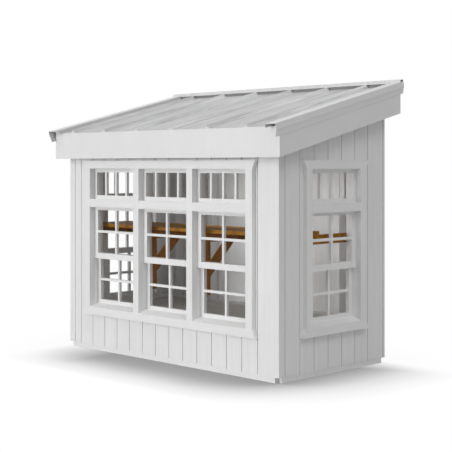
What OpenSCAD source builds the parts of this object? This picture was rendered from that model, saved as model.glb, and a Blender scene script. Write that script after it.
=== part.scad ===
// Lean-to greenhouse with a white boarded timber frame, sash windows and a ribbed metal roof.
// The front faces -Y, +X runs to the right along it, and the origin is on the ground at the centre.

/* [Walls] */
// Width of the building over its siding
wall_w = 3040; // [2800:10:3400]
// Depth of the building over its siding
wall_d = 1550; // [1450:5:1700]
// Thickness of the siding sheets
siding_t = 20; // [12:1:25]
// Depth of the timber framing behind the siding
frame_t = 115; // [90:1:140]
// Height of the siding's lower edge above the ground
siding_z = 50; // [30:1:80]
// Width of a stud beside a window
stud_w = 72; // [38:1:80]
// Width of the two posts in the back wall
back_post_w = 73; // [45:1:90]

/* [Base and floor] */
// How far the base stays behind the siding's face
base_inset = 5; // [0:1:20]
// Width of the base beams
base_w = 100; // [80:1:110]
// Side of the square notch at each corner of the base
base_notch = 50; // [20:1:70]
// Height of the floor's top above the ground
floor_z = 420; // [380:5:450]
// Thickness of the floor boards
deck_t = 20; // [15:1:30]
// Height of the floor joists
joist_h = 190; // [140:5:220]
// Width of a floor joist
joist_w = 45; // [38:1:60]
// Number of floor joists
joist_count = 6; // [4:1:9]
// Width of a bearer under the joists
bearer_w = 90; // [60:1:120]

/* [Windows] */
// Top of the window sills above the ground
sill_z = 492; // [480:1:520]
// Underside of the window heads above the ground
head_z = 1907; // [1890:1:1920]
// Lower edge of the rail between the transom and the sashes
transom_z = 1504; // [1480:1:1560]
// Height of that rail
transom_rail_h = 83; // [50:1:90]
// Lower edge of the meeting rail
meeting_z = 961; // [940:1:1020]
// Height of the meeting rail
meeting_h = 59; // [35:1:65]
// Width of the wall to the left of the front windows
left_pier_w = 394; // [300:1:420]
// Width of the wall to the right of the front windows
right_pier_w = 371; // [300:1:450]
// Width of a mullion between two front windows
mullion_w = 81; // [60:1:100]
// Width of the casing boards beside the front windows
front_casing_w = 83; // [70:1:110]
// Width of a side wall in front of its window
side_front_pier = 412; // [340:1:460]
// Width of a side wall behind its window
side_back_pier = 433; // [320:1:460]
// Width of the casing boards beside the side windows
side_casing_w = 83; // [80:1:115]
// How far the casings stand out of the siding
casing_t = 44; // [25:1:50]
// Height of the head casing
head_casing_h = 81; // [60:1:88]
// Height of the apron under the sill
apron_h = 81; // [60:1:88]
// How far the sill falls from the sash to its front edge
sill_fall = 35; // [20:1:40]
// How far the ends of the head casing and the apron flare out
flare = 36; // [20:1:45]
// How far the transom rail stands out of the siding
rail_proud = 42; // [0:1:44]
// Thickness of a sash
sash_t = 38; // [30:1:40]
// Depth of the upper sash's face behind the siding's face
sash_in = 20; // [10:1:25]
// Width of a sash's stiles
stile_w = 57; // [40:1:60]
// Height of the upper sash's top rail
sash_top_h = 33; // [25:1:60]
// Height of the lower sash's bottom rail
sash_bottom_h = 37; // [30:1:70]
// Width of a transom frame's members
transom_frame_w = 40; // [22:1:45]
// Thickness of the glass
glass_t = 4; // [3:1:6]

/* [Back door] */
// Clear width between the back posts
door_open_w = 1756; // [1500:2:1800]
// Sideways place of the door's centre, to the right seen from the front
door_shift = 104; // [0:1:130]
// Height of the door opening's head above the ground
door_head_z = 2250; // [2200:5:2290]
// Thickness of a door leaf
door_t = 45; // [30:1:50]
// Gap round each door leaf
door_gap = 5; // [3:1:8]
// Height of a door hinge
hinge_h = 90; // [70:1:120]
// Diameter of a hinge's knuckle
knuckle_d = 14; // [10:1:16]
// Distance from the door opening to the boards round it
door_reveal = 8; // [7:1:15]
// Width of the boards round the door
door_casing_w = 82; // [60:1:100]
// Thickness of the boards round the door
door_casing_t = 20; // [15:1:30]

/* [Roof] */
// Slope of the roof
roof_slope = 14; // [12:0.5:16]
// Overhang of the roof beyond the siding on every side
overhang = 110; // [90:1:130]
// Height of the fascia's lower edge at the front
eave_z = 2011; // [1995:1:2030]
// Upright height of the fascia boards
fascia_h = 273; // [260:1:285]
// Thickness of the fascia boards
fascia_t = 38; // [25:1:45]
// Thickness of the roof boards under the metal
roof_deck_t = 15; // [12:1:20]
// How far the soffit lies above the fascia's lower edge
soffit_up = 15; // [10:1:25]
// Thickness of the soffit
soffit_t = 12; // [9:1:15]
// Width of a rafter
rafter_w = 45; // [38:1:60]
// Number of rafters
rafter_count = 7; // [5:1:9]
// Thickness of the metal sheet
sheet_t = 2; // [1.5:0.5:3]
// How far the sheet reaches past the front fascia
sheet_front = 2; // [0:1:20]
// Distance from rib to rib
rib_pitch = 508; // [400:5:600]
// Sideways place of one rib to the right of the centre
rib_shift = 205; // [0:5:250]
// Height of a rib
rib_h = 29; // [25:1:40]
// Width of a rib at its foot
rib_foot = 70; // [60:1:80]
// Width of a rib at its top
rib_top = 26; // [20:1:35]

/* [Roof trim] */
// Height of the rake trim over the fascia's side
trim_h = 81; // [60:1:90]
// Height of the upright lip above the rake trim's hollow
trim_lip = 15; // [4:1:25]
// How far the rake trim stands out of the fascia at its top
trim_out = 25; // [20:1:45]
// Width of the trim's flange over the roof
flange_w = 105; // [90:1:110]
// Thickness of the metal trim
trim_t = 4; // [3:1:6]
// How far the rake trim reaches past the front fascia
trim_front = 73; // [56:1:80]
// How far the rake trim reaches past the back fascia
trim_back = 24; // [8:1:30]
// How far the cap along the high edge reaches in over the ribs
cap_in = 27; // [20:1:40]
// Height of that cap's front lip above the ribs
cap_h = 29; // [20:1:35]
// How far the cap's back flange reaches below the roof boards' top
cap_drop = 70; // [50:1:90]

/* [Shelf] */
// Height of the shelf's top above the ground
shelf_z = 1322; // [1290:1:1330]
// Thickness of shelf timber
timber_t = 35; // [35:1:45]
// Width of shelf timber
timber_w = 89; // [80:1:95]
// Number of slats in the shelf
slat_count = 6; // [4:1:6]
// Gap between two slats
slat_gap = 9; // [5:1:15]
// Height of the brackets' feet above the ground
bracket_z = 683; // [660:1:740]
// Height of the brace's lower edge where it meets the leg
brace_z = 860; // [830:1:880]
// Distance from the front siding to the ledgers' back ends
ledger_end = 1134; // [1050:2:1170]

/* [Hidden] */

paint = [0.87, 0.87, 0.86];
metal = [0.78, 0.78, 0.78];
pine = [0.62, 0.40, 0.16];
boards = [0.50, 0.50, 0.48];

half_w = wall_w / 2;
half_d = wall_d / 2;
wall_t = siding_t + frame_t;
inner_w = wall_w - 2 * wall_t;
inner_d = wall_d - 2 * wall_t;
beam_top = sill_z - sill_fall;
transom_top = transom_z + transom_rail_h;
joist_z = floor_z - deck_t - joist_h;

front_half = (wall_w - left_pier_w - right_pier_w) / 2;
front_shift = (left_pier_w - right_pier_w) / 2;
front_open_w = (2 * front_half - 2 * mullion_w) / 3;
front_bay = front_open_w + mullion_w;
side_half = (wall_d - side_front_pier - side_back_pier) / 2;
side_shift = (side_front_pier - side_back_pier) / 2;
sash_back = sash_in + sash_t;

roof_x = half_w + overhang;
roof_y = half_d + overhang;
slope_len = 2 * roof_y / cos(roof_slope);
deck_v = roof_deck_t / cos(roof_slope);
rafter_up = soffit_up + soffit_t;
rib_reach = roof_x - flange_w - rib_foot / 2;
ribs_left = floor((rib_reach + rib_shift) / rib_pitch + 0.001);
ribs_right = floor((rib_reach - rib_shift) / rib_pitch + 0.001);
rib_crest = rib_h + sheet_t;

shelf_under = shelf_z - timber_t;
shelf_d = slat_count * timber_w + (slat_count - 1) * slat_gap;
shelf_y = wall_t - half_d;
brace_w = timber_w * sqrt(2);

// Height of the fascias' lower edge, the walls' top and the roof boards' top at a place along the depth
function fascia_z(y) = eave_z + (y + roof_y) * tan(roof_slope);
function top_z(y) = fascia_z(y) + rafter_up;
function deck_z(y) = fascia_z(y) + fascia_h;

// Frames in which x runs along a wall's outer face, y goes into the wall and z is up
module on_front() { translate([0, -half_d, 0]) children(); }
module on_back() { translate([0, half_d, 0]) rotate([0, 0, 180]) children(); }
module on_right() { translate([half_w, 0, 0]) rotate([0, 0, 90]) children(); }
module on_sides() {
    on_right() children();
    mirror([1, 0, 0]) on_right() children();
}

// Box between two limits along each axis
module block(x, y, z) {
    translate([x[0], y[0], z[0]]) cube([x[1] - x[0], y[1] - y[0], z[1] - z[0]]);
}

// Outline drawn in the x and z directions, given its depth along y
module upright(outline, y) {
    translate([0, y[1], 0]) rotate([90, 0, 0]) linear_extrude(y[1] - y[0]) polygon(outline);
}

// Outline drawn in the y and z directions, given its length along x
module along_x(outline, x) {
    translate([x[0], 0, 0]) rotate([90, 0, 90]) linear_extrude(x[1] - x[0]) polygon(outline);
}

// Outline drawn across the roof and up from its boards, run up the slope from the front edge
module up_slope(outline, from, to) {
    translate([0, -roof_y, eave_z + fascia_h]) rotate([roof_slope, 0, 0])
        translate([0, to, 0]) rotate([90, 0, 0]) linear_extrude(to - from) polygon(outline);
}

// Piece between two places along the depth whose foot is level and whose top follows the roof
module under_roof(x, y, z) {
    along_x([[y[0], z], [y[1], z], [y[1], top_z(y[1])], [y[0], top_z(y[0])]], x);
}

// Band of the roof between two heights over the fascias' lower edge
module roof_band(x, y, up) {
    along_x([[y[0], fascia_z(y[0]) + up[0]], [y[1], fascia_z(y[1]) + up[0]],
             [y[1], fascia_z(y[1]) + up[1]], [y[0], fascia_z(y[0]) + up[1]]], x);
}

// Side wall slab whose top follows the roof, in the right wall's frame
module gable_slab(along, deep, z) {
    upright([[along[0], z], [along[1], z], [along[1], top_z(along[1])], [along[0], top_z(along[0])]], deep);
}

// Window frame or sash with one opening, drawn in the wall's frame
module frame(x, y, z, side, low, high) {
    difference() {
        block(x, y, z);
        block([x[0] + side, x[1] - side], [y[0] - 1, y[1] + 1], [z[0] + low, z[1] - high]);
    }
}

// Base and floor

module base_frame() {
    color(boards) difference() {
        block([base_inset - half_w, half_w - base_inset], [base_inset - half_d, half_d - base_inset],
              [0, siding_z]);
        block([base_inset + base_w - half_w, half_w - base_inset - base_w],
              [base_inset + base_w - half_d, half_d - base_inset - base_w], [-1, siding_z + 1]);
        for (x = [-1, 1], y = [-1, 1])
            translate([x * half_w, y * half_d, siding_z / 2])
                cube([2 * base_notch, 2 * base_notch, siding_z + 2], center = true);
    }
}

module floor_bearers() {
    step = (inner_d - bearer_w) / 2;
    color(boards) for (i = [0:2])
        translate([-inner_w / 2, i * step - inner_d / 2, 0]) cube([inner_w, bearer_w, joist_z]);
}

module floor_joists() {
    step = (inner_w - joist_w) / (joist_count - 1);
    color(boards) for (i = [0:joist_count - 1])
        translate([i * step - inner_w / 2, -inner_d / 2, joist_z]) cube([joist_w, inner_d, joist_h]);
}

module floor_deck() {
    color(boards) block([-inner_w / 2, inner_w / 2], [-inner_d / 2, inner_d / 2], [floor_z - deck_t, floor_z]);
}

// Wall framing

module wall_beams() {
    color(paint) {
        on_front() block([-inner_w / 2, inner_w / 2], [siding_t, wall_t], [siding_z, beam_top]);
        on_back() block([-inner_w / 2, inner_w / 2], [siding_t, wall_t], [siding_z, floor_z]);
        on_sides() block([-inner_d / 2, inner_d / 2], [siding_t, wall_t], [siding_z, beam_top]);
    }
}

module corner_posts() {
    color(paint) for (x = [-1, 1], y = [-1, 1]) {
        far_x = x * (half_w - siding_t);
        near_x = x * inner_w / 2;
        far_y = y * (half_d - siding_t);
        near_y = y * inner_d / 2;
        under_roof([min(far_x, near_x), max(far_x, near_x)], [min(far_y, near_y), max(far_y, near_y)], siding_z);
    }
}

module wall_studs() {
    color(paint) {
        for (i = [-1, 1]) {
            mullion = front_shift + i * front_bay / 2;
            on_front() block([mullion - mullion_w / 2, mullion + mullion_w / 2], [siding_t, wall_t],
                             [beam_top, head_z]);
            stud = front_shift + i * (front_half + stud_w / 2);
            on_front() block([stud - stud_w / 2, stud + stud_w / 2], [siding_t, wall_t], [beam_top, head_z]);
            side = side_shift + i * (side_half + stud_w / 2);
            on_sides() block([side - stud_w / 2, side + stud_w / 2], [siding_t, wall_t], [beam_top, head_z]);
        }
    }
}

module back_posts() {
    color(paint) for (i = [-1, 1]) {
        post = -door_shift + i * (door_open_w + back_post_w) / 2;
        on_back() block([post - back_post_w / 2, post + back_post_w / 2], [siding_t, wall_t],
                        [floor_z, door_head_z]);
    }
}

module wall_headers() {
    color(paint) {
        under_roof([-inner_w / 2, inner_w / 2], [siding_t - half_d, wall_t - half_d], head_z);
        under_roof([-inner_w / 2, inner_w / 2], [half_d - wall_t, half_d - siding_t], door_head_z);
        on_sides() gable_slab([-inner_d / 2, inner_d / 2], [siding_t, wall_t], head_z);
    }
}

// Siding

module front_siding_below() {
    color(paint) on_front() block([-half_w, half_w], [0, siding_t], [siding_z, beam_top]);
}

module front_siding_piers() {
    color(paint) {
        on_front() block([-half_w, front_shift - front_half], [0, siding_t], [beam_top, head_z]);
        on_front() block([front_shift + front_half, half_w], [0, siding_t], [beam_top, head_z]);
    }
}

module front_siding_above() {
    color(paint) under_roof([-half_w, half_w], [-half_d, siding_t - half_d], head_z);
}

module side_siding_below() {
    color(paint) on_sides() block([siding_t - half_d, half_d - siding_t], [0, siding_t], [siding_z, beam_top]);
}

module side_siding_piers() {
    color(paint) on_sides() {
        block([siding_t - half_d, side_shift - side_half], [0, siding_t], [beam_top, head_z]);
        block([side_shift + side_half, half_d - siding_t], [0, siding_t], [beam_top, head_z]);
    }
}

module side_siding_above() {
    front = siding_t - half_d;
    back = half_d - siding_t;
    color(paint) on_sides() upright([[front, head_z], [back, head_z], [back, deck_z(back) - deck_v],
                                     [front, deck_z(front) - deck_v]], [0, siding_t]);
}

module back_siding_below() {
    color(paint) on_back() block([-half_w, half_w], [0, siding_t], [siding_z, floor_z]);
}

module back_siding_piers() {
    color(paint) {
        on_back() block([-half_w, -door_shift - door_open_w / 2], [0, siding_t], [floor_z, door_head_z]);
        on_back() block([door_open_w / 2 - door_shift, half_w], [0, siding_t], [floor_z, door_head_z]);
    }
}

module back_siding_above() {
    color(paint) under_roof([-half_w, half_w], [half_d - siding_t, half_d], door_head_z);
}

// Window trim

// Head casing with ends that flare out towards the top
module head_casing(middle, half) {
    upright([[middle - half, head_z], [middle + half, head_z],
             [middle + half + flare, head_z + head_casing_h], [middle - half - flare, head_z + head_casing_h]],
            [-casing_t, 0]);
}

// Apron with ends that flare out towards the foot
module apron(middle, half) {
    upright([[middle - half - flare, beam_top - apron_h], [middle + half + flare, beam_top - apron_h],
             [middle + half, beam_top], [middle - half, beam_top]], [-casing_t, 0]);
}

// Sill board that goes through the wall and slopes down to the apron's front edge
module sill_board(middle, half) {
    along_x([[-casing_t, beam_top], [wall_t, beam_top], [wall_t, sill_z], [sash_back, sill_z]],
            [middle - half, middle + half]);
}

module front_head_casing() {
    color(paint) on_front() head_casing(front_shift, front_half + front_casing_w);
}

module front_sill() {
    color(paint) on_front() union() {
        apron(front_shift, front_half + front_casing_w);
        for (i = [-1:1]) sill_board(front_shift + i * front_bay, front_open_w / 2);
    }
}

module front_casing_boards() {
    color(paint) on_front() for (i = [-1, 1]) {
        outer = front_shift + i * (front_half + front_casing_w / 2);
        block([outer - front_casing_w / 2, outer + front_casing_w / 2], [-casing_t, 0], [beam_top, head_z]);
        mullion = front_shift + i * front_bay / 2;
        block([mullion - mullion_w / 2, mullion + mullion_w / 2], [-casing_t, siding_t], [beam_top, head_z]);
    }
}

module side_head_casings() {
    color(paint) on_sides() head_casing(side_shift, side_half + side_casing_w);
}

module side_sills() {
    color(paint) on_sides() union() {
        apron(side_shift, side_half + side_casing_w);
        sill_board(side_shift, side_half);
    }
}

module side_casing_boards() {
    color(paint) on_sides() for (i = [-1, 1]) {
        outer = side_shift + i * (side_half + side_casing_w / 2);
        block([outer - side_casing_w / 2, outer + side_casing_w / 2], [-casing_t, 0], [beam_top, head_z]);
    }
}

module transom_rails() {
    color(paint) {
        for (i = [-1:1]) {
            middle = front_shift + i * front_bay;
            on_front() block([middle - front_open_w / 2, middle + front_open_w / 2], [-rail_proud, sash_back],
                             [transom_z, transom_top]);
        }
        on_sides() block([side_shift - side_half, side_shift + side_half], [-rail_proud, sash_back],
                         [transom_z, transom_top]);
    }
}

// Sashes

module transom(middle, half) {
    frame([middle - half, middle + half], [sash_in, sash_back], [transom_top, head_z],
          transom_frame_w, transom_frame_w, transom_frame_w);
}

module upper_sash(middle, half) {
    frame([middle - half, middle + half], [sash_in, sash_back], [meeting_z, transom_z],
          stile_w, meeting_h, sash_top_h);
}

module lower_sash(middle, half) {
    frame([middle - half, middle + half], [sash_back, sash_back + sash_t], [sill_z, meeting_z + meeting_h],
          stile_w, sash_bottom_h, meeting_h);
}

// Panes of one window: in the transom, the upper sash and the lower sash
module panes(middle, half) {
    mid = [sash_in + (sash_t - glass_t) / 2, sash_in + (sash_t + glass_t) / 2];
    wide = half - stile_w;
    block([middle - half + transom_frame_w, middle + half - transom_frame_w], mid,
          [transom_top + transom_frame_w, head_z - transom_frame_w]);
    block([middle - wide, middle + wide], mid, [meeting_z + meeting_h, transom_z - sash_top_h]);
    block([middle - wide, middle + wide], [mid[0] + sash_t, mid[1] + sash_t], [sill_z + sash_bottom_h, meeting_z]);
}

module front_transoms() {
    color(paint) on_front() for (i = [-1:1]) transom(front_shift + i * front_bay, front_open_w / 2);
}

module front_upper_sashes() {
    color(paint) on_front() for (i = [-1:1]) upper_sash(front_shift + i * front_bay, front_open_w / 2);
}

module front_lower_sashes() {
    color(paint) on_front() for (i = [-1:1]) lower_sash(front_shift + i * front_bay, front_open_w / 2);
}

module front_glass() {
    color([0.8, 0.85, 0.85, 0.4]) on_front()
        for (i = [-1:1]) panes(front_shift + i * front_bay, front_open_w / 2);
}

module side_transoms() {
    color(paint) on_sides() transom(side_shift, side_half);
}

module side_upper_sashes() {
    color(paint) on_sides() upper_sash(side_shift, side_half);
}

module side_lower_sashes() {
    color(paint) on_sides() lower_sash(side_shift, side_half);
}

module side_glass() {
    color([0.8, 0.85, 0.85, 0.4]) on_sides() panes(side_shift, side_half);
}

// Back door

module back_doors() {
    leaf_w = (door_open_w - 3 * door_gap) / 2;
    color(paint) on_back() for (i = [-1, 1]) {
        middle = -door_shift + i * (leaf_w + door_gap) / 2;
        block([middle - leaf_w / 2, middle + leaf_w / 2], [0, door_t], [floor_z + door_gap, door_head_z - door_gap]);
    }
}

// Butt hinges that fill the gap between a leaf and its post, with the knuckle outside
module door_hinges() {
    r = knuckle_d / 2;
    span = door_head_z - floor_z;
    color("gray") on_back() for (i = [-1, 1], k = [1, 3, 5]) {
        post = -door_shift + i * door_open_w / 2;
        leaf = post - i * door_gap;
        low = floor_z + span * k / 6 - hinge_h / 2;
        union() {
            block([min(post, leaf), max(post, leaf)], [-r, door_t], [low, low + hinge_h]);
            translate([(post + leaf) / 2, -r, low]) cylinder(h = hinge_h, r = r, $fn = 24);
        }
    }
}

module back_door_casing() {
    half = door_open_w / 2 + door_reveal;
    color(paint) on_back() difference() {
        block([-door_shift - half - door_casing_w, half + door_casing_w - door_shift], [-door_casing_t, 0],
              [floor_z, door_head_z + door_reveal + door_casing_w]);
        block([-door_shift - half, half - door_shift], [-door_casing_t - 1, 1],
              [floor_z - 1, door_head_z + door_reveal]);
    }
}

// Roof

module rafters() {
    step = (wall_w - 2 * siding_t - rafter_w) / (rafter_count - 1);
    reach = roof_y - fascia_t;
    color(boards) for (i = [0:rafter_count - 1]) {
        left = siding_t - half_w + i * step;
        roof_band([left, left + rafter_w], [-reach, reach], [rafter_up, fascia_h - deck_v]);
    }
}

module roof_deck() {
    reach = roof_y - fascia_t;
    color(boards) roof_band([fascia_t - roof_x, roof_x - fascia_t], [-reach, reach], [fascia_h - deck_v, fascia_h]);
}

module soffit() {
    reach = roof_y - fascia_t;
    color(paint) difference() {
        roof_band([fascia_t - roof_x, roof_x - fascia_t], [-reach, reach], [soffit_up, rafter_up]);
        block([-half_w, half_w], [-half_d, half_d], [eave_z, deck_z(roof_y)]);
    }
}

module eave_fascias() {
    color(paint) for (y = [-roof_y, roof_y - fascia_t])
        roof_band([fascia_t - roof_x, roof_x - fascia_t], [y, y + fascia_t], [0, fascia_h]);
}

module rake_fascias() {
    color(paint) for (x = [-roof_x, roof_x - fascia_t])
        roof_band([x, x + fascia_t], [-roof_y, roof_y], [0, fascia_h]);
}

// Upper line of the sheet from left to right, lifted by its own thickness where asked
function rib_line(i) = let (x = rib_shift + i * rib_pitch)
    [[x - rib_foot / 2, 0], [x - rib_top / 2, rib_h], [x + rib_top / 2, rib_h], [x + rib_foot / 2, 0]];
function sheet_line(up) = [for (i = [-ribs_left:ribs_right], p = rib_line(i)) [p[0], p[1] + up]];

module roof_sheet() {
    under = sheet_line(0);
    over = sheet_line(sheet_t);
    count = len(over);
    color(metal) up_slope(concat([[-roof_x, 0]], under, [[roof_x, 0], [roof_x, sheet_t]],
                                 [for (i = [count - 1:-1:0]) over[i]], [[-roof_x, sheet_t]]),
                          -sheet_front, slope_len);
}

// Point of the rake trim's cove, from its lip (0 degrees) to its foot (90 degrees), set in by a thickness
function cove_point(a, inside) = [roof_x + trim_out - inside - (trim_out - trim_t) * sin(a),
                                  -trim_lip - (trim_h - trim_lip) * a / 90];

// Folded sheet: a flange over the roof with a hook on the sheet, an upright lip, and a cove to the fascia
module rake_trims() {
    low = rib_crest + trim_t;
    hook = roof_x - flange_w;
    steps = [0:15:90];
    section = concat([[hook, sheet_t], [hook, low + trim_t], [roof_x + trim_out, low + trim_t]],
                     [for (a = steps) cove_point(a, 0)], [for (a = steps) cove_point(90 - a, trim_t)],
                     [[roof_x + trim_out - trim_t, low], [hook + trim_t, low], [hook + trim_t, sheet_t]]);
    color(metal) for (side = [0, 1])
        mirror([side, 0, 0]) up_slope(section, -trim_front, slope_len + trim_back);
}

// Folded cap on the ribs along the high edge, notched over the rake trims
module high_edge_flashing() {
    front = slope_len - cap_in;
    back = slope_len + trim_back;
    top = rib_crest + cap_h;
    reach = roof_x + trim_out;
    notch = rib_crest + 2 * trim_t;
    section = [[front, rib_crest], [front, top], [back, top], [back, -cap_drop], [back - trim_t, -cap_drop],
               [back - trim_t, top - trim_t], [front + trim_t, top - trim_t], [front + trim_t, rib_crest]];
    color(metal) translate([0, -roof_y, eave_z + fascia_h]) rotate([roof_slope, 0, 0]) difference() {
        along_x(section, [-reach, reach]);
        for (side = [-1, 1]) translate([side * (reach + roof_x - flange_w) / 2, slope_len, notch / 2 - cap_drop])
            cube([reach - roof_x + flange_w + 0.01, 4 * cap_in, notch + 2 * cap_drop], center = true);
    }
}

// Shelf

module shelf_slats() {
    color(pine) for (i = [0:slat_count - 1]) {
        front = shelf_y + i * (timber_w + slat_gap);
        block([-inner_w / 2, inner_w / 2], [front, front + timber_w], [shelf_under, shelf_z]);
    }
}

module shelf_rear_rail() {
    back = shelf_y + shelf_d;
    color(pine) block([timber_t - inner_w / 2, inner_w / 2 - timber_t], [back - timber_t, back],
                      [shelf_under - timber_w, shelf_under]);
}

module shelf_ledgers() {
    color(pine) for (side = [0, 1]) mirror([side, 0, 0])
        block([inner_w / 2 - timber_t, inner_w / 2], [shelf_y, ledger_end - half_d],
              [shelf_under - timber_w, shelf_under]);
}

module shelf_brackets() {
    arm_z = shelf_under - timber_w;
    face = shelf_y + timber_w;
    reach = arm_z - brace_z;
    color(pine) for (i = [-1, 1]) {
        left = front_shift + i * front_bay / 2 - timber_t / 2;
        union() {
            block([left, left + timber_t], [shelf_y, face], [bracket_z, shelf_under]);
            block([left, left + timber_t], [shelf_y, shelf_y + shelf_d - timber_t], [arm_z, shelf_under]);
            along_x([[face - 1, brace_z - 1], [face + reach + 1, arm_z + 1], [face + reach + 1 - brace_w, arm_z + 1],
                     [face - 1, brace_z - 1 + brace_w]], [left, left + timber_t]);
        }
    }
}

base_frame();
floor_bearers();
floor_joists();
floor_deck();
wall_beams();
corner_posts();
wall_studs();
back_posts();
wall_headers();
front_siding_below();
front_siding_piers();
front_siding_above();
side_siding_below();
side_siding_piers();
side_siding_above();
back_siding_below();
back_siding_piers();
back_siding_above();
front_head_casing();
front_sill();
front_casing_boards();
side_head_casings();
side_sills();
side_casing_boards();
transom_rails();
front_transoms();
front_upper_sashes();
front_lower_sashes();
side_transoms();
side_upper_sashes();
side_lower_sashes();
front_glass();
side_glass();
back_doors();
door_hinges();
back_door_casing();
rafters();
roof_deck();
soffit();
eave_fascias();
rake_fascias();
roof_sheet();
rake_trims();
high_edge_flashing();
shelf_slats();
shelf_rear_rail();
shelf_brackets();
shelf_ledgers();
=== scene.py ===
"""Looks of the lean-to greenhouse: grooved siding, glazing bars, paint, stained timber and metal."""
import math

import bmesh
import bpy
from mathutils import Matrix, Vector


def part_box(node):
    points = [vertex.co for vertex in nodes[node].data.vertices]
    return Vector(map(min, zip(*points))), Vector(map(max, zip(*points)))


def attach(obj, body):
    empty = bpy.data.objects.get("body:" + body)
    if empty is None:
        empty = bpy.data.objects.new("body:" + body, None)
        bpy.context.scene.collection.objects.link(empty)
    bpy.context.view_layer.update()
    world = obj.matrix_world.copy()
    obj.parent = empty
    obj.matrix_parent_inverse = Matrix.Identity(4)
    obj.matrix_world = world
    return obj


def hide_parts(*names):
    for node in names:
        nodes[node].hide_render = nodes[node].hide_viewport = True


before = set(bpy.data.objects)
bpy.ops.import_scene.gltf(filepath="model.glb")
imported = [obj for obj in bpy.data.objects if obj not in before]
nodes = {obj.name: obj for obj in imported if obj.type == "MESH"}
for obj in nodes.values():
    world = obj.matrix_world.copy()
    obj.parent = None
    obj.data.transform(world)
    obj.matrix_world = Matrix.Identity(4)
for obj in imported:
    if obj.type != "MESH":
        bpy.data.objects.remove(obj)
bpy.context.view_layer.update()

# Sizes that the solids give
FRONT_LOW, FRONT_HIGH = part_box("front_siding_below")
HALF_W = FRONT_HIGH.x
HALF_D = -FRONT_LOW.y
SIDING_T = FRONT_HIGH.y - FRONT_LOW.y
SIDING_FOOT = FRONT_LOW.z
SILL_TOP = FRONT_HIGH.z
HEAD_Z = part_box("front_casing_boards")[1].z
ROOF_SLOPE = math.radians(14)
FASCIA_LOW, FASCIA_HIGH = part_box("eave_fascias")
WALL_TOP = FASCIA_LOW.z + 0.027

# Siding boards
GROOVE_HALF = 0.0035
GROOVE_DEEP = 0.017
BOARD_PITCH = 0.199
FRONT_FIRST = 0.2599
SIDE_FIRST = 0.0837

# Ribs of the roof sheet, and the front edge from which they run up
RIB_SHIFT = 0.205
RIB_PITCH = 0.508
RIBS_LEFT = -3
RIBS_RIGHT = 2
RIB_FOOT = 0.066
RIB_TOP = 0.022
RIB_H = 0.0285
ROOF_EDGE = Vector((0, FASCIA_LOW.y, FASCIA_LOW.z + 0.273))

# Glazing bars
BAR_W = 0.026
BAR_DEEP = 0.032
BAR_LAP = 0.003
TRANSOM_BAR_STEP = 0.163
UPPER_BAR_Z = 1.246
LOWER_BAR_Z = 0.742


def roof_line(y):
    """Height of the walls' top under the roof at a place along the depth."""
    return WALL_TOP + (y - FASCIA_LOW.y) * math.tan(ROOF_SLOPE)


# Frames of the walls: x along the wall, y into the wall, z up
ON_FRONT = Matrix.Translation((0, -HALF_D, 0))
ON_BACK = Matrix.Translation((0, HALF_D, 0)) @ Matrix.Rotation(math.pi, 4, "Z")
ON_RIGHT = Matrix.Translation((HALF_W, 0, 0)) @ Matrix.Rotation(math.pi / 2, 4, "Z")
ON_LEFT = Matrix.Scale(-1, 4, (1, 0, 0)) @ ON_RIGHT


class Wood:
    """Node tree builder for one procedural material."""

    def __init__(self, name):
        self.material = bpy.data.materials.new(name)
        self.material.use_nodes = True
        self.tree = self.material.node_tree
        self.shader = self.tree.nodes["Principled BSDF"]

    def node(self, kind, **settings):
        made = self.tree.nodes.new(kind)
        for key, value in settings.items():
            setattr(made, key, value)
        return made

    def link(self, source, target):
        self.tree.links.new(source, target)

    def object_coordinates(self, scale):
        place = self.node("ShaderNodeTexCoord")
        mapping = self.node("ShaderNodeMapping")
        mapping.inputs["Scale"].default_value = scale
        self.link(place.outputs["Object"], mapping.inputs["Vector"])
        return mapping.outputs["Vector"]

    def noise(self, scale, detail=4.0, roughness=0.6, size=1.0):
        noise = self.node("ShaderNodeTexNoise")
        noise.inputs["Scale"].default_value = size
        noise.inputs["Detail"].default_value = detail
        noise.inputs["Roughness"].default_value = roughness
        self.link(self.object_coordinates(scale), noise.inputs["Vector"])
        return noise.outputs["Fac"]

    def ramp(self, source, stops):
        ramp = self.node("ShaderNodeValToRGB")
        while len(ramp.color_ramp.elements) < len(stops):
            ramp.color_ramp.elements.new(0.5)
        for element, (place, color) in zip(ramp.color_ramp.elements, stops):
            element.position = place
            element.color = (*color, 1)
        self.link(source, ramp.inputs["Fac"])
        return ramp.outputs["Color"]

    def multiply(self, first, second, amount=1.0):
        mix = self.node("ShaderNodeMix", data_type="RGBA", blend_type="MULTIPLY")
        mix.inputs[0].default_value = amount
        self.link(first, mix.inputs[6])
        self.link(second, mix.inputs[7])
        return mix.outputs[2]

    def bump(self, source, strength, distance, before=None):
        bump = self.node("ShaderNodeBump")
        bump.inputs["Strength"].default_value = strength
        bump.inputs["Distance"].default_value = distance
        self.link(source, bump.inputs["Height"])
        if before is not None:
            self.link(before, bump.inputs["Normal"])
        return bump.outputs["Normal"]

    def remap(self, source, low, high, start=0.0, end=1.0):
        remap = self.node("ShaderNodeMapRange")
        remap.inputs["From Min"].default_value = start
        remap.inputs["From Max"].default_value = end
        remap.inputs["To Min"].default_value = low
        remap.inputs["To Max"].default_value = high
        self.link(source, remap.inputs["Value"])
        return remap.outputs["Result"]


def along(axis, run, across):
    """Scale of a grain that runs along one axis."""
    scale = [across, across, across]
    scale["xyz".index(axis)] = run
    return scale


def grey(value):
    return (value, value, value)


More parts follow.
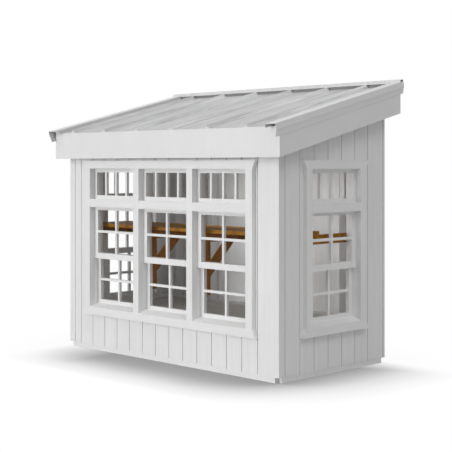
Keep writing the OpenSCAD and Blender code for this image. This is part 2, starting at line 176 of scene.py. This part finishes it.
def painted(name, axis, tone, warm=0.0, rough_sawn=1.0):
    """White paint on timber whose grain runs along one axis."""
    wood = Wood(name)
    faded = 1 - 0.055 * rough_sawn
    low = (tone * faded, tone * (faded - warm), tone * (faded - 2 * warm))
    high = (tone, tone * (1 - warm), tone * (1 - 2 * warm))
    streaks = wood.noise(along(axis, 1.4, 27), 8, 0.66)
    color = wood.ramp(streaks, [(0.3, low), (0.62, high)])
    patches = wood.ramp(wood.noise(along(axis, 1.1, 3.0), 3, 0.5), [(0.3, grey(0.965)), (0.7, grey(1.0))])
    wood.link(wood.multiply(color, patches), wood.shader.inputs["Base Color"])
    fibre = wood.noise(along(axis, 9, 260), 3, 0.6)
    wood.link(wood.remap(streaks, 0.5, 0.68), wood.shader.inputs["Roughness"])
    grain = wood.bump(streaks, 0.28 * rough_sawn, 0.0012)
    wood.link(wood.bump(fibre, 0.22 * rough_sawn, 0.0006, grain), wood.shader.inputs["Normal"])
    wood.shader.inputs["Specular IOR Level"].default_value = 0.3
    return wood.material


def stained(name, axis, dark, light):
    """Stained pine whose grain runs along one axis."""
    wood = Wood(name)
    rings = wood.noise(along(axis, 1.2, 26), 8, 0.68)
    color = wood.ramp(rings, [(0.32, dark), (0.66, light)])
    flecks = wood.ramp(wood.noise(along(axis, 7, 180), 3, 0.5), [(0.35, grey(0.86)), (0.6, grey(1.0))])
    wood.link(wood.multiply(color, flecks), wood.shader.inputs["Base Color"])
    wood.link(wood.remap(rings, 0.42, 0.58), wood.shader.inputs["Roughness"])
    wood.link(wood.bump(rings, 0.3, 0.001), wood.shader.inputs["Normal"])
    wood.shader.inputs["Specular IOR Level"].default_value = 0.15
    return wood.material


def coated_metal(name, tone, roughness, streak, flank_light_gain=1.0):
    """Pale factory coating on sheet metal, with faint rolling marks and chalking, and painted light that leaves the
    steep rib flanks brighter than the flat pans when the flank gain is above one.
    """
    metal = Wood(name)
    cloud = metal.noise((2.2, 1.1, 2.2), 5, 0.6)
    color = metal.ramp(cloud, [(0.3, grey(tone * 0.95)), (0.7, grey(tone))])
    runs = metal.noise((26, 0.8, 0.8), 5, 0.7)
    streaks = metal.ramp(runs, [(0.4, grey(1 - streak)), (0.5, grey(1 - 0.4 * streak)), (0.6, grey(1.0))])
    color = metal.multiply(color, streaks)
    # Painted light: the flat pans are made darker than the steep rib flanks, which face sideways.
    if flank_light_gain > 1:
        facing = metal.node("ShaderNodeSeparateXYZ")
        metal.link(metal.node("ShaderNodeNewGeometry").outputs["Normal"], facing.inputs[0])
        steep = metal.node("ShaderNodeMath", operation="ABSOLUTE")
        metal.link(facing.outputs["X"], steep.inputs[0])
        painted_flank_light = metal.ramp(steep.outputs[0], [(0.2, grey(1 / flank_light_gain)), (0.7, grey(1.0))])
        color = metal.multiply(color, painted_flank_light)
    metal.link(color, metal.shader.inputs["Base Color"])
    metal.link(metal.remap(cloud, roughness - 0.06, roughness + 0.08), metal.shader.inputs["Roughness"])
    metal.link(metal.bump(metal.noise((30, 4, 30), 3, 0.5), 0.12, 0.0006), metal.shader.inputs["Normal"])
    metal.shader.inputs["Metallic"].default_value = 0.15
    metal.shader.inputs["Specular IOR Level"].default_value = 0.4
    return metal.material


def clear_glass(name):
    """Clean window glass with the faintest waviness."""
    glass = Wood(name)
    glass.shader.inputs["Base Color"].default_value = (0.86, 0.9, 0.9, 1)
    glass.shader.inputs["Alpha"].default_value = 0.006
    glass.shader.inputs["Roughness"].default_value = 0.03
    glass.shader.inputs["Specular IOR Level"].default_value = 0.1
    wave = glass.noise((1.5, 1.5, 1.1), 1, 0.4)
    glass.link(glass.bump(wave, 0.03, 0.001), glass.shader.inputs["Normal"])
    return glass.material


def bare_steel(name):
    """Zinc-plated steel of the door's hinges."""
    steel = Wood(name)
    spangle = steel.noise((160, 160, 160), 2, 0.5)
    steel.link(steel.ramp(spangle, [(0.35, grey(0.42)), (0.65, grey(0.56))]), steel.shader.inputs["Base Color"])
    steel.link(steel.remap(spangle, 0.32, 0.48), steel.shader.inputs["Roughness"])
    steel.shader.inputs["Metallic"].default_value = 0.9
    return steel.material


SIDING_PAINT = painted("siding paint", "z", 0.80)
UPRIGHT_PAINT = painted("upright trim paint", "z", 0.81)
CROSS_PAINT = painted("cross trim paint", "x", 0.81)
DEEP_PAINT = painted("depth trim paint", "y", 0.81)
FASCIA_PAINT = painted("fascia paint", "z", 0.77, 0.0, 0.3)
SASH_PAINT = painted("sash paint", "z", 0.82, 0.0, 0.6)
INSIDE_PAINT = painted("framing paint", "z", 0.86, 0.004)
INSIDE_CROSS = painted("roof framing paint", "y", 0.70, 0.012)
FLOOR_TIMBER = stained("floor boards", "x", (0.44, 0.425, 0.395), (0.66, 0.645, 0.6))
BASE_TIMBER = painted("base timber", "x", 0.8, 0.004)
SHELF_PINE = stained("shelf pine", "x", (0.2, 0.078, 0.002), (0.44, 0.19, 0.006))
BRACKET_PINE = stained("bracket pine", "z", (0.28, 0.095, 0.001), (0.52, 0.2, 0.004))
# The roof coating gets painted light: flat pans darker than the rib flanks.
ROOF_METAL = coated_metal("roof metal", 0.8, 0.42, 0.36, 1.3)
# Darker copy of the coating made as painted shade for the rib ends; no piece uses it.
RIB_END_PAINTED_SHADE_METAL = coated_metal("rib end painted shade metal", 0.4, 0.42, 0.1)
TRIM_METAL = coated_metal("folded trim metal", 0.71, 0.42, 0.05)
# Dark grey foam: the closures' own colour, also set dark as painted shade for the gap under the cap.
FOAM_AS_PAINTED_SHADE = stained("closure foam as painted shade", "x", grey(0.2), grey(0.26))
GLASS = clear_glass("clear glass")
HINGE_STEEL = bare_steel("hinge steel")

FINISHES = {
    UPRIGHT_PAINT: ["front_casing_boards", "side_casing_boards", "back_door_casing"],
    CROSS_PAINT: ["front_head_casing", "front_sill", "transom_rails"],
    DEEP_PAINT: ["side_head_casings", "side_sills"],
    FASCIA_PAINT: ["eave_fascias", "rake_fascias"],
    SASH_PAINT: [
        "front_transoms", "front_upper_sashes", "front_lower_sashes",
        "side_transoms", "side_upper_sashes", "side_lower_sashes",
    ],
    INSIDE_PAINT: ["corner_posts", "wall_studs", "back_posts", "wall_beams", "wall_headers", "back_doors"],
    INSIDE_CROSS: ["rafters", "roof_deck", "soffit"],
    FLOOR_TIMBER: ["floor_deck", "floor_joists", "floor_bearers"],
    BASE_TIMBER: ["base_frame"],
    SHELF_PINE: ["shelf_slats", "shelf_rear_rail", "shelf_ledgers"],
    BRACKET_PINE: ["shelf_brackets"],
    ROOF_METAL: ["roof_sheet"],
    TRIM_METAL: ["rake_trims", "high_edge_flashing"],
    GLASS: ["front_glass", "side_glass"],
    HINGE_STEEL: ["door_hinges"],
}
for finish, names in FINISHES.items():
    for name in names:
        nodes[name].data.materials.clear()
        nodes[name].data.materials.append(finish)


def finish_piece(name, bm, finish):
    """Turns a bmesh into a piece of the object."""
    mesh = bpy.data.meshes.new(name)
    bm.to_mesh(mesh)
    bm.free()
    piece = bpy.data.objects.new(name, mesh)
    bpy.context.scene.collection.objects.link(piece)
    mesh.materials.append(finish)
    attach(piece, "root")
    return piece


def put_block(bm, low, high, place=Matrix()):
    """Adds a box between two corners and gives its geometry."""
    low = Vector(low)
    high = Vector(high)
    size = Matrix.Diagonal((*(high - low), 1))
    middle = Matrix.Translation((low + high) / 2)
    return bmesh.ops.create_cube(bm, size=1, matrix=place @ middle @ size)["verts"]


def put_board(bm, span, height, grooves, place, top=None):
    """Adds one board: its outline in plan, rabbeted at a groove, run up between two heights."""
    left, right = span
    outline = [(left, SIDING_T), (right, SIDING_T)]
    if grooves[1]:
        outline += [(right, GROOVE_DEEP), (right - GROOVE_HALF, GROOVE_DEEP), (right - GROOVE_HALF, 0)]
    else:
        outline += [(right, 0)]
    if grooves[0]:
        outline += [(left + GROOVE_HALF, 0), (left + GROOVE_HALF, GROOVE_DEEP), (left, GROOVE_DEEP)]
    else:
        outline += [(left, 0)]
    face = bm.faces.new([bm.verts.new((u, v, height[0])) for u, v in outline])
    raised = bmesh.ops.extrude_face_region(bm, geom=[face])["geom"]
    upper = [part for part in raised if isinstance(part, bmesh.types.BMVert)]
    for vert in upper:
        vert.co.z = height[1] if top is None else top(vert.co)
    lower = list(face.verts)
    nose = [e for v in upper for e in v.link_edges if e.other_vert(v) in lower and v.co.y < 1e-6]
    made = bmesh.ops.bevel(
        bm, geom=nose, offset=0.0012, affect="EDGES", segments=1, profile=0.5, material=-1
    )["verts"]
    whole = set(made) | {v for v in upper + lower if v.is_valid}
    bmesh.ops.transform(bm, matrix=place, verts=list(whole))


def clad_wall(bm, grooves, width, opening, high, place, top=None):
    """Covers a wall with boards that leave one opening free."""
    left, right, low, head = opening
    marks = [width[0]] + sorted(grooves) + [width[1]]
    for start, end in zip(marks[:-1], marks[1:]):
        cut = (start > width[0], end < width[1])
        covered = end > left and start < right
        if not covered:
            put_board(bm, (start, end), (SIDING_FOOT, high), cut, place, top)
            continue
        put_board(bm, (start, end), (SIDING_FOOT, low), cut, place)
        put_board(bm, (start, end), (head, high), cut, place, top)
        if start < left:
            put_board(bm, (start, left), (low, head), (cut[0], False), place)
        if end > right:
            put_board(bm, (right, end), (low, head), (False, cut[1]), place)


def clad_front():
    bm = bmesh.new()
    sash_low, sash_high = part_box("front_upper_sashes")
    grooves = [HALF_W - FRONT_FIRST - BOARD_PITCH * n for n in range(14)]
    grooves.append(grooves[-1] - 0.104)
    opening = (sash_low.x, sash_high.x, SILL_TOP, HEAD_Z)
    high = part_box("front_siding_above")[1].z - 0.005
    clad_wall(bm, grooves, (-HALF_W, HALF_W), opening, high, ON_FRONT)
    bmesh.ops.recalc_face_normals(bm, faces=bm.faces)
    piece = finish_piece("front_boards", bm, SIDING_PAINT)
    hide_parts("front_siding_below", "front_siding_piers", "front_siding_above")


def clad_sides():
    bm = bmesh.new()
    sash_low, sash_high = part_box("side_upper_sashes")
    inner = HALF_D - SIDING_T
    grooves = [SIDE_FIRST - HALF_D + BOARD_PITCH * n for n in range(7)]
    grooves.append(0.745)
    opening = (sash_low.y, sash_high.y, SILL_TOP, HEAD_Z)
    for place in (ON_RIGHT, ON_LEFT):
        clad_wall(bm, grooves, (-inner, inner), opening, 0, place, lambda co: roof_line(co.x))
    bmesh.ops.recalc_face_normals(bm, faces=bm.faces)
    piece = finish_piece("side_boards", bm, SIDING_PAINT)
    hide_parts("side_siding_below", "side_siding_piers", "side_siding_above")


def clad_back():
    bm = bmesh.new()
    posts_low, posts_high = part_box("back_posts")
    post_w = 0.073
    grooves = [HALF_W - FRONT_FIRST - BOARD_PITCH * n for n in range(14)]
    opening = (-posts_high.x + post_w, -posts_low.x - post_w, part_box("floor_deck")[1].z, posts_high.z)
    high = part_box("back_siding_above")[1].z - 0.005
    clad_wall(bm, grooves, (-HALF_W, HALF_W), opening, high, ON_BACK)
    bmesh.ops.recalc_face_normals(bm, faces=bm.faces)
    piece = finish_piece("back_boards", bm, SIDING_PAINT)
    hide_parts("back_siding_below", "back_siding_piers", "back_siding_above")


def put_bar(bm, u, v, z, place):
    """Adds one glazing bar with eased edges, in a wall's frame."""
    verts = put_block(bm, (u[0], v[0], z[0]), (u[1], v[1], z[1]), place)
    edges = list({edge for vert in verts for edge in vert.link_edges})
    bmesh.ops.bevel(bm, geom=edges, offset=0.003, affect="EDGES", segments=2, profile=0.5, material=-1)


def glaze(name, node, middles, places, uprights, cross_z, width):
    """Glazing bars of one kind of sash: uprights at steps from each middle and at most one cross bar."""
    bm = bmesh.new()
    low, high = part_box(node)
    glass_low, glass_high = width["z"]
    face = width["face"]
    deep = (face, face + BAR_DEEP)
    for place in places:
        for middle in middles:
            for step in uprights:
                u = middle + step
                put_bar(bm, (u - BAR_W / 2, u + BAR_W / 2), deep, (glass_low - BAR_LAP, glass_high + BAR_LAP), place)
            if cross_z is not None:
                half = width["half"] + BAR_LAP
                cross = (cross_z - BAR_W / 2, cross_z + BAR_W / 2)
                put_bar(bm, (middle - half, middle + half), (face + 0.0005, face + BAR_DEEP - 0.0005), cross, place)
    bmesh.ops.recalc_face_normals(bm, faces=bm.faces)
    finish_piece(name, bm, SASH_PAINT)


def glaze_all():
    low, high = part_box("front_upper_sashes")
    mullion = 0.081
    open_w = (high.x - low.x - 2 * mullion) / 3
    front = [low.x + open_w / 2 + n * (open_w + mullion) for n in range(3)]
    side_low, side_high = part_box("side_upper_sashes")
    side = [(side_low.y + side_high.y) / 2]
    half = open_w / 2 - 0.057
    steps = (-TRANSOM_BAR_STEP, 0, TRANSOM_BAR_STEP)
    for wall, middles, places in (("front", front, (ON_FRONT,)), ("side", side, (ON_RIGHT, ON_LEFT))):
        glaze(wall + "_transom_bars", wall + "_transoms", middles, places, steps, None,
              {"z": (1.627, 1.867), "face": 0.020, "half": half})
        glaze(wall + "_upper_bars", wall + "_upper_sashes", middles, places, (0,), UPPER_BAR_Z,
              {"z": (1.020, 1.471), "face": 0.020, "half": half})
        glaze(wall + "_lower_bars", wall + "_lower_sashes", middles, places, (0,), LOWER_BAR_Z,
              {"z": (0.529, 0.961), "face": 0.058, "half": half})


def plug_ribs():
    """Closures that fill the front ends of the roof sheet's ribs."""
    bm = bmesh.new()
    for n in range(RIBS_LEFT, RIBS_RIGHT + 1):
        middle = RIB_SHIFT + n * RIB_PITCH
        verts = put_block(bm, (middle - RIB_FOOT / 2, -0.001, 0), (middle + RIB_FOOT / 2, 0.03, RIB_H))
        for vert in verts:
            if vert.co.z > RIB_H / 2:
                vert.co.x = middle + (vert.co.x - middle) * RIB_TOP / RIB_FOOT
    slope = Matrix.Rotation(ROOF_SLOPE, 4, "X")
    bmesh.ops.transform(bm, matrix=Matrix.Translation(ROOF_EDGE) @ slope, verts=bm.verts)
    bmesh.ops.recalc_face_normals(bm, faces=bm.faces)
    finish_piece("rib_plugs", bm, TRIM_METAL)


def close_high_edge():
    """Dark foam strips that close the gap between the roof sheet and the cap, from rib to rib; their dark grey also
    serves as painted shade for the gap.
    """
    bm = bmesh.new()
    slope_length = (FASCIA_HIGH.y - FASCIA_LOW.y) / math.cos(ROOF_SLOPE)
    ribs = [RIB_SHIFT + n * RIB_PITCH for n in range(RIBS_LEFT, RIBS_RIGHT + 1)]
    ends = [FASCIA_LOW.x - 0.066] + ribs + [FASCIA_HIGH.x + 0.066]
    for left, right in zip(ends[:-1], ends[1:]):
        low = (left + RIB_FOOT / 2 + 0.004, slope_length - 0.024, 0.0022)
        high = (right - RIB_FOOT / 2 - 0.004, slope_length - 0.006, RIB_H)
        put_block(bm, low, high)
    slope = Matrix.Rotation(ROOF_SLOPE, 4, "X")
    bmesh.ops.transform(bm, matrix=Matrix.Translation(ROOF_EDGE) @ slope, verts=bm.verts)
    bmesh.ops.recalc_face_normals(bm, faces=bm.faces)
    finish_piece("closure_strips", bm, FOAM_AS_PAINTED_SHADE)


clad_front()
clad_sides()
close_high_edge()
plug_ribs()
clad_back()
glaze_all()


def add_sun(name, toward, spread, energy):
    """Broad soft light from one direction."""
    data = bpy.data.lights.new(name, "SUN")
    data.angle = math.radians(spread)
    data.energy = energy
    lamp = bpy.data.objects.new(name, data)
    lamp.rotation_euler = Vector(toward).to_track_quat("Z", "Y").to_euler()
    bpy.context.scene.collection.objects.link(lamp)


# Painted floor shadow by how open the floor lies: dark against the base, white in the open
FLOOR_PAINTED_SHADOW = [
    (0.5, grey(0.33)),
    (0.66, grey(0.37)),
    (0.74, grey(0.43)),
    (0.85, grey(0.62)),
    (0.93, grey(0.82)),
    (0.975, grey(0.93)),
    (1.0, grey(1.0)),
]


def add_room_light():
    """Soft light above the shelf that stands in for daylight through the front windows."""
    data = bpy.data.lights.new("room", "AREA")
    data.shape = "RECTANGLE"
    data.size = 1.6
    data.size_y = 0.45
    data.energy = 4.3
    light = bpy.data.objects.new("room", data)
    light.location = (0.45, -0.3, 1.62)
    light.rotation_euler = (math.pi / 2, 0, 0)
    light.visible_camera = False
    light.visible_glossy = False
    bpy.context.scene.collection.objects.link(light)


def build_studio():
    """Pale floor with a painted shadow, plain soft light and a white surround."""
    bm = bmesh.new()
    bmesh.ops.create_grid(bm, x_segments=1, y_segments=1, size=60)
    mesh = bpy.data.meshes.new("floor")
    bm.to_mesh(mesh)
    bm.free()
    floor = bpy.data.objects.new("floor", mesh)
    bpy.context.scene.collection.objects.link(floor)
    ground = Wood("studio floor with painted shadow")
    tree = ground.tree
    tree.nodes.remove(ground.shader)
    rays = ground.node("ShaderNodeLightPath")
    seen = ground.node("ShaderNodeMath", operation="MAXIMUM")
    mirrored = ground.node("ShaderNodeMath", operation="MAXIMUM")
    ground.link(rays.outputs["Is Camera Ray"], seen.inputs[0])
    ground.link(rays.outputs["Is Transmission Ray"], seen.inputs[1])
    ground.link(seen.outputs[0], mirrored.inputs[0])
    ground.link(rays.outputs["Is Glossy Ray"], mirrored.inputs[1])
    matte = ground.node("ShaderNodeBsdfDiffuse")
    matte.inputs["Color"].default_value = (0.66, 0.66, 0.66, 1)
    nearness = ground.node("ShaderNodeAmbientOcclusion", samples=32)
    nearness.inputs["Distance"].default_value = 1.0
    painted_shadow = ground.ramp(nearness.outputs["AO"], FLOOR_PAINTED_SHADOW)
    # The painted shadow fades out by place: lighter left of the building, right of it and behind it.
    where = ground.node("ShaderNodeSeparateXYZ")
    ground.link(ground.object_coordinates((1, 1, 1)), where.inputs[0])
    left_shadow_fade = ground.remap(where.outputs["X"], 0.95, 0.0, -HALF_W - 0.05, -HALF_W + 0.8)
    right_shadow_fade = ground.remap(where.outputs["X"], 0.0, 0.45, HALF_W, HALF_W + 0.5)
    back_shadow_fade = ground.remap(where.outputs["Y"], 0.0, 0.95, HALF_D - 0.45, HALF_D + 0.05)
    side_shadow_fade = ground.node("ShaderNodeMath", operation="MAXIMUM")
    ground.link(left_shadow_fade, side_shadow_fade.inputs[0])
    ground.link(right_shadow_fade, side_shadow_fade.inputs[1])
    shadow_fade = ground.node("ShaderNodeMath", operation="MAXIMUM")
    ground.link(side_shadow_fade.outputs[0], shadow_fade.inputs[0])
    ground.link(back_shadow_fade, shadow_fade.inputs[1])
    faded = ground.node("ShaderNodeMix", data_type="RGBA")
    ground.link(shadow_fade.outputs[0], faded.inputs[0])
    ground.link(painted_shadow, faded.inputs[6])
    faded.inputs[7].default_value = (1, 1, 1, 1)
    # The floor's glow carries the painted shadow for camera, glossy and transmission rays.
    floor_glow_with_painted_shadow = ground.node("ShaderNodeEmission")
    ground.link(faded.outputs[2], floor_glow_with_painted_shadow.inputs["Color"])
    choice = ground.node("ShaderNodeMixShader")
    ground.link(mirrored.outputs[0], choice.inputs[0])
    ground.link(matte.outputs[0], choice.inputs[1])
    ground.link(floor_glow_with_painted_shadow.outputs[0], choice.inputs[2])
    ground.link(choice.outputs[0], tree.nodes["Material Output"].inputs["Surface"])
    mesh.materials.append(ground.material)

    world = bpy.data.worlds.new("surround")
    bpy.context.scene.world = world
    world.use_nodes = True
    tree = world.node_tree
    sky = tree.nodes["Background"]
    rays = tree.nodes.new("ShaderNodeLightPath")
    seen = tree.nodes.new("ShaderNodeMath")
    seen.operation = "MAXIMUM"
    tree.links.new(rays.outputs["Is Camera Ray"], seen.inputs[0])
    tree.links.new(rays.outputs["Is Glossy Ray"], seen.inputs[1])
    clear = tree.nodes.new("ShaderNodeMath")
    clear.operation = "MAXIMUM"
    tree.links.new(seen.outputs[0], clear.inputs[0])
    tree.links.new(rays.outputs["Is Transmission Ray"], clear.inputs[1])
    level = tree.nodes.new("ShaderNodeMapRange")
    level.inputs["To Min"].default_value = 0.22
    level.inputs["To Max"].default_value = 1.0
    tree.links.new(clear.outputs[0], level.inputs["Value"])
    tree.links.new(level.outputs["Result"], sky.inputs["Strength"])
    sky.inputs["Color"].default_value = (1, 1, 1, 1)

    add_sun("front", (-0.3, -1.0, 0.0), 20, 1.66)
    add_sun("front high", (-0.35, -1.0, 0.5), 24, 0.74)
    add_sun("corner", (1.0, -0.6, 0.6), 40, 0.3)
    add_sun("right high", (1.0, -0.15, 1.6), 24, 0.7)
    add_sun("top", (0.0, -0.3, 1.0), 50, 0.4)
    add_room_light()


def set_camera():
    """The photograph's view: level camera at the near corner's eye height."""
    data = bpy.data.cameras.new("camera")
    camera = bpy.data.objects.new("camera", data)
    bpy.context.scene.collection.objects.link(camera)
    picture = 452
    data.sensor_width = 36
    data.lens = 36 * 1108.5 / picture
    data.shift_y = -(picture / 2 - 165.4) / picture
    forward = Vector((-1, 1, 0)).normalized()
    right = Vector((1, 1, 0)).normalized()
    up = Vector((0, 0, 1))
    turn = Matrix((right, up, -forward)).transposed().to_4x4()
    corner = Vector((HALF_W, -HALF_D, 0))
    camera.matrix_world = Matrix.Translation(corner - right * 0.468 - forward * 9.8267 + up * 1.9397) @ turn
    bpy.context.scene.camera = camera


build_studio()
set_camera()
bpy.context.scene.view_settings.view_transform = "Standard"
